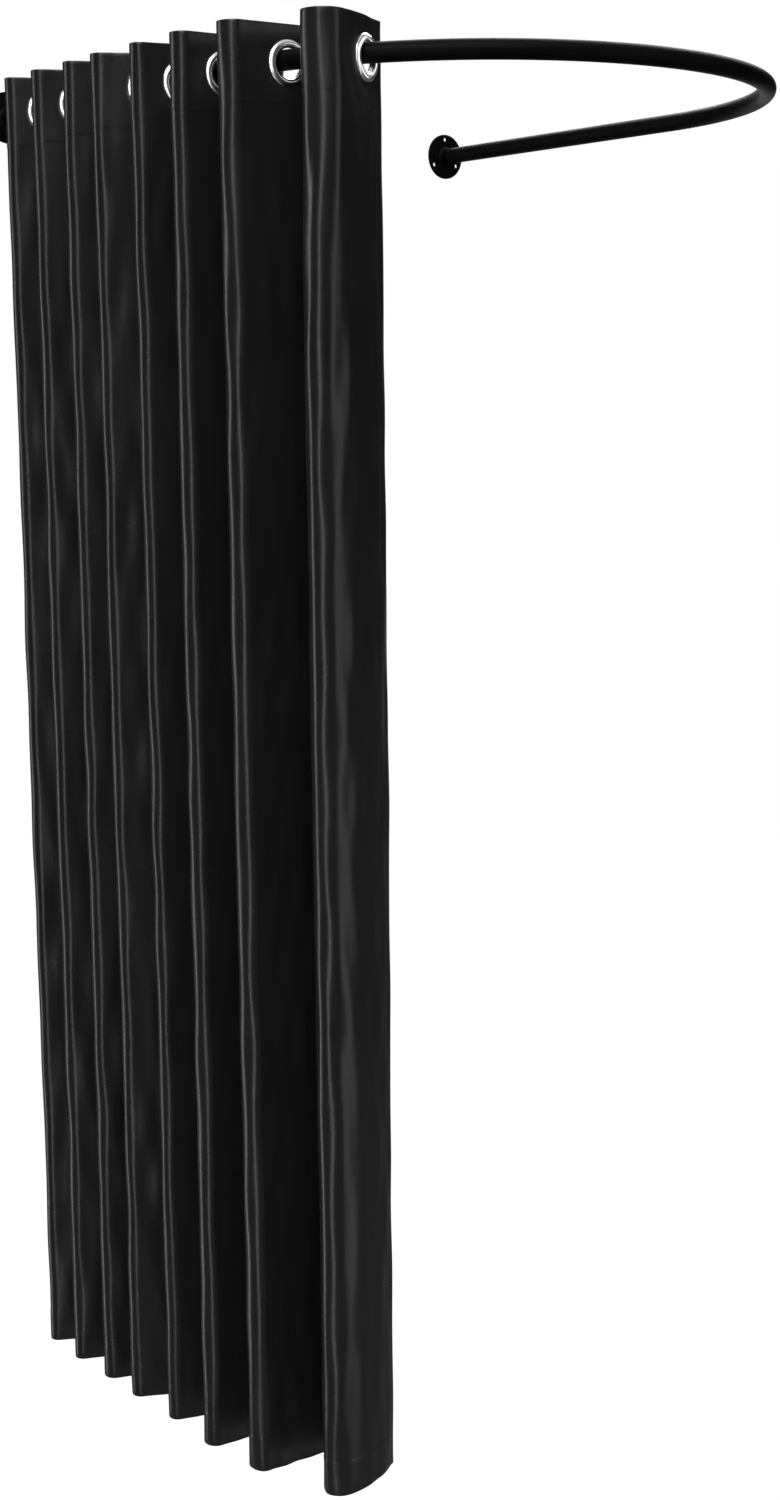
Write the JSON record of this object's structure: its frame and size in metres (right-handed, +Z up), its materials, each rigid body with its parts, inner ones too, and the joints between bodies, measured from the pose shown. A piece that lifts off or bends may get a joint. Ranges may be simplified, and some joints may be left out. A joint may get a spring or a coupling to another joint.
{
  "type": "wall-mounted fitting room rail with curtain",
  "caption": "U-shaped tube rail with two wall flanges and a floor-length eyelet curtain that draws round it, to make a changing cubicle",
  "frame": {"origin": "on the wall plane, midway between the two wall flanges, at the height of the rail's axis", "axes": "+Z up, +Y into the wall (the room is on the -Y side), +X to the right when facing the wall"},
  "size_m": [1.0086, 1.0135, 2],
  "materials": {
    "black_steel": "satin black powder coat",
    "chrome": "bright chrome",
    "black_cloth": "close black polyester with a soft satin sheen"
  },
  "bodies": {
    "rail_frame": {"u_rail": "black_steel", "wall_flange_left": "black_steel", "wall_flange_right": "black_steel"},
    "eyelet_01": {"curtain_panel_01": "black_cloth", "eyelet_01_front": "chrome", "eyelet_01_back": "chrome"},
    "eyelet_02": {"curtain_panel_02": "black_cloth", "eyelet_02_front": "chrome", "eyelet_02_back": "chrome"},
    "eyelet_03": {"curtain_panel_03": "black_cloth", "eyelet_03_front": "chrome", "eyelet_03_back": "chrome"},
    "eyelet_04": {"curtain_panel_04": "black_cloth", "eyelet_04_front": "chrome", "eyelet_04_back": "chrome"},
    "eyelet_05": {"curtain_panel_05": "black_cloth", "eyelet_05_front": "chrome", "eyelet_05_back": "chrome"},
    "eyelet_06": {"curtain_panel_06": "black_cloth", "eyelet_06_front": "chrome", "eyelet_06_back": "chrome"},
    "eyelet_07": {"curtain_panel_07": "black_cloth", "eyelet_07_front": "chrome", "eyelet_07_back": "chrome"},
    "eyelet_08": {"curtain_panel_08": "black_cloth", "eyelet_08_front": "chrome", "eyelet_08_back": "chrome"},
    "eyelet_09": {"curtain_panel_09": "black_cloth", "eyelet_09_front": "chrome", "eyelet_09_back": "chrome"},
    "eyelet_10": {"curtain_panel_10": "black_cloth", "eyelet_10_front": "chrome", "eyelet_10_back": "chrome"},
    "eyelet_11": {"curtain_panel_11": "black_cloth", "eyelet_11_front": "chrome", "eyelet_11_back": "chrome"},
    "eyelet_12": {"curtain_panel_12": "black_cloth", "eyelet_12_front": "chrome", "eyelet_12_back": "chrome"},
    "eyelet_13": {"curtain_panel_13": "black_cloth", "eyelet_13_front": "chrome", "eyelet_13_back": "chrome"},
    "eyelet_14": {"curtain_panel_14": "black_cloth", "eyelet_14_front": "chrome", "eyelet_14_back": "chrome"},
    "eyelet_15": {"curtain_panel_15": "black_cloth", "eyelet_15_front": "chrome", "eyelet_15_back": "chrome"},
    "eyelet_16": {"curtain_panel_16": "black_cloth", "eyelet_16_front": "chrome", "eyelet_16_back": "chrome"}
  },
  "joints": [
    {"name": "eyelet_01_draw", "type": "slide", "parent": "rail_frame", "child": "eyelet_01", "axis": [0, -1, 0], "range_m": [0, 0.004]},
    {"name": "eyelet_02_draw", "type": "slide", "parent": "eyelet_01", "child": "eyelet_02", "axis": [0, -1, 0], "range_m": [0, 0.004]},
    {"name": "eyelet_03_draw", "type": "slide", "parent": "eyelet_02", "child": "eyelet_03", "axis": [0, -1, 0], "range_m": [0, 0.004]},
    {"name": "eyelet_04_draw", "type": "slide", "parent": "eyelet_03", "child": "eyelet_04", "axis": [0, -1, 0], "range_m": [0, 0.004]},
    {"name": "eyelet_05_draw", "type": "slide", "parent": "eyelet_04", "child": "eyelet_05", "axis": [0, -1, 0], "range_m": [0, 0.004]},
    {"name": "eyelet_06_draw", "type": "slide", "parent": "eyelet_05", "child": "eyelet_06", "axis": [0, -1, 0], "range_m": [0, 0.004]},
    {"name": "eyelet_07_draw", "type": "slide", "parent": "eyelet_06", "child": "eyelet_07", "axis": [0, -1, 0], "range_m": [0, 0.004]},
    {"name": "eyelet_08_draw", "type": "slide", "parent": "eyelet_07", "child": "eyelet_08", "axis": [0, -1, 0], "range_m": [0, 0.004]},
    {"name": "eyelet_09_draw", "type": "slide", "parent": "eyelet_08", "child": "eyelet_09", "axis": [0, -1, 0], "range_m": [0, 0.004]},
    {"name": "eyelet_10_draw", "type": "slide", "parent": "eyelet_09", "child": "eyelet_10", "axis": [0, -1, 0], "range_m": [0, 0.004]},
    {"name": "eyelet_11_draw", "type": "hinge", "parent": "eyelet_10", "child": "eyelet_11", "pos_m": [-0.2986, -0.5278, 0], "axis": [0, 0, 1], "range_deg": [0, 6.83]},
    {"name": "eyelet_12_draw", "type": "hinge", "parent": "eyelet_11", "child": "eyelet_12", "pos_m": [-0.0398, -0.5478, 0], "axis": [0, 0, 1], "range_deg": [0, 6.29]},
    {"name": "eyelet_13_draw", "type": "hinge", "parent": "eyelet_12", "child": "eyelet_13", "pos_m": [0, -0.55, 0], "axis": [0, 0, 1], "range_deg": [0, 5.73]},
    {"name": "eyelet_14_draw", "type": "hinge", "parent": "eyelet_13", "child": "eyelet_14", "pos_m": [0, -0.55, 0], "axis": [0, 0, 1], "range_deg": [0, 5.73]},
    {"name": "eyelet_15_draw", "type": "hinge", "parent": "eyelet_14", "child": "eyelet_15", "pos_m": [0, -0.55, 0], "axis": [0, 0, 1], "range_deg": [0, 5.73]},
    {"name": "eyelet_16_draw", "type": "hinge", "parent": "eyelet_15", "child": "eyelet_16", "pos_m": [0, -0.55, 0], "axis": [0, 0, 1], "range_deg": [0, 6.37]}
  ],
  "couplings": [
    {"joint": "eyelet_02_draw", "follows": "eyelet_01_draw", "ratio": 1},
    {"joint": "eyelet_03_draw", "follows": "eyelet_01_draw", "ratio": 1},
    {"joint": "eyelet_04_draw", "follows": "eyelet_01_draw", "ratio": 1},
    {"joint": "eyelet_05_draw", "follows": "eyelet_01_draw", "ratio": 1},
    {"joint": "eyelet_06_draw", "follows": "eyelet_01_draw", "ratio": 1},
    {"joint": "eyelet_07_draw", "follows": "eyelet_01_draw", "ratio": 1},
    {"joint": "eyelet_08_draw", "follows": "eyelet_01_draw", "ratio": 1},
    {"joint": "eyelet_09_draw", "follows": "eyelet_01_draw", "ratio": 1},
    {"joint": "eyelet_10_draw", "follows": "eyelet_01_draw", "ratio": 1},
    {"joint": "eyelet_11_draw", "follows": "eyelet_01_draw", "rad_per_m": 29.794},
    {"joint": "eyelet_12_draw", "follows": "eyelet_01_draw", "rad_per_m": 27.428},
    {"joint": "eyelet_13_draw", "follows": "eyelet_01_draw", "rad_per_m": 25},
    {"joint": "eyelet_14_draw", "follows": "eyelet_01_draw", "rad_per_m": 25},
    {"joint": "eyelet_15_draw", "follows": "eyelet_01_draw", "rad_per_m": 25},
    {"joint": "eyelet_16_draw", "follows": "eyelet_01_draw", "rad_per_m": 27.778}
  ]
}
